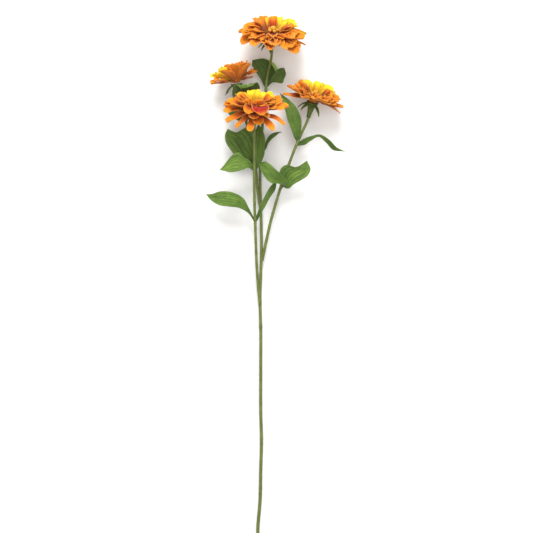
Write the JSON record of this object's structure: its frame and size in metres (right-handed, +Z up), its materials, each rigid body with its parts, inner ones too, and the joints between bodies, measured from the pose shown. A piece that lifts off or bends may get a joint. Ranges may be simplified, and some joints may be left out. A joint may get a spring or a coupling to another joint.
{
  "type": "zinnia spray",
  "caption": "Cut zinnia spray lying on its side: a forked stem with leaves and double orange blooms that open from a yellow edge to a red throat.",
  "frame": {"origin": "middle of the spray's footprint, on the surface that it lies on", "axes": "+Y along the stem from its cut end to the blooms, +X to the right seen from above with the blooms at the top, +Z up from the surface"},
  "size_m": [0.199, 0.756, 0.1137],
  "materials": {
    "petals": "soft matte orange, yellow at the far side of each bloom and red-orange at the roots",
    "centre": "matte golden brown knobs",
    "calyx": "matte dark green",
    "leaf": "matte mid green with pressed veins, duller underneath",
    "stem": "satin olive green"
  },
  "bodies": {
    "root": {"stem": "stem", "leaf_front_low_left": "leaf", "leaf_front_low_right": "leaf", "leaf_front_high_left": "leaf", "leaf_front_high_right": "leaf", "leaf_right_low_left": "leaf", "leaf_right_low_right": "leaf", "leaf_right_high_left": "leaf", "leaf_right_high_right": "leaf", "leaf_top_low_left": "leaf", "leaf_top_low_right": "leaf", "leaf_left_high_front": "leaf", "leaf_left_high_left": "leaf", "leaf_left_low_left": "leaf", "leaf_left_low_right": "leaf", "leaf_top_mid_right": "leaf", "top_petals": "petals", "top_centre": "centre", "top_calyx": "calyx", "front_petals": "petals", "front_centre": "centre", "front_calyx": "calyx", "right_petals": "petals", "right_centre": "centre", "right_calyx": "calyx", "left_petals": "petals", "left_centre": "centre", "left_calyx": "calyx"}
  },
  "joints": []
}
